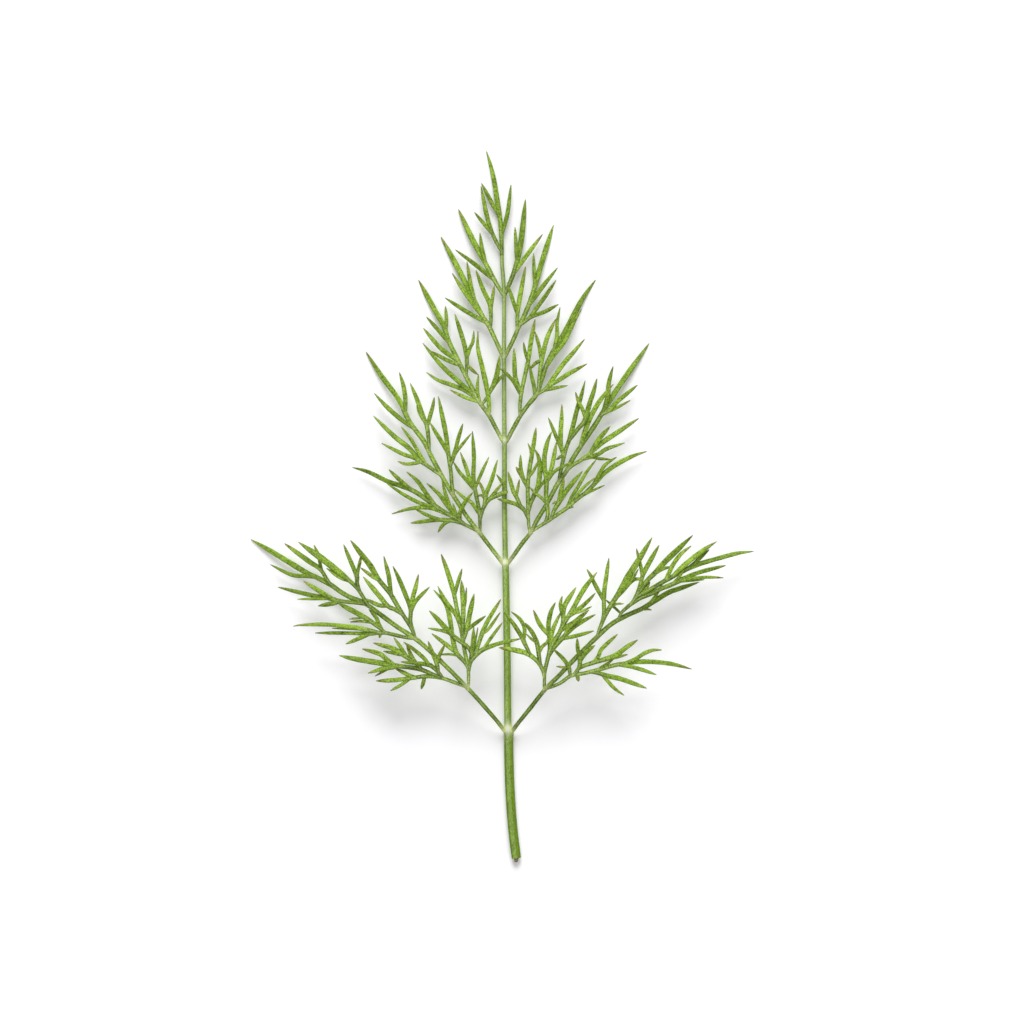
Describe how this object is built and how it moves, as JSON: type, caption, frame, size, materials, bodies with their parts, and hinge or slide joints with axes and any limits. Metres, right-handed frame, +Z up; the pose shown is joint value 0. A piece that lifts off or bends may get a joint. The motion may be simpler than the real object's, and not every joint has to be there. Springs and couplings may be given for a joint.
{
  "type": "dill leaf",
  "caption": "Single cut dill leaf lying flat: a slender leaf stalk with opposite pairs of feathery pinnae divided into fine threadlike segments.",
  "frame": {"origin": "centre of the leaf's outline, on the surface it lies on", "axes": "+Y along the leaf stalk from its cut end to the leaf tip, +X to the right seen from above, +Z up from the surface"},
  "size_m": [0.1004, 0.142, 0.011],
  "materials": {
    "stem": "smooth, faintly waxy leaf stalk, darker green at its edges",
    "pinna": "fresh green threadlike leaf, satin, yellower at the tips"
  },
  "bodies": {
    "root": {"main_stem": "stem", "lower_left": "pinna", "lower_right": "pinna", "middle_left": "pinna", "middle_right": "pinna", "upper_left": "pinna", "upper_right": "pinna", "high_left": "pinna", "high_right": "pinna", "top_left": "pinna", "top_right": "pinna"}
  },
  "joints": []
}
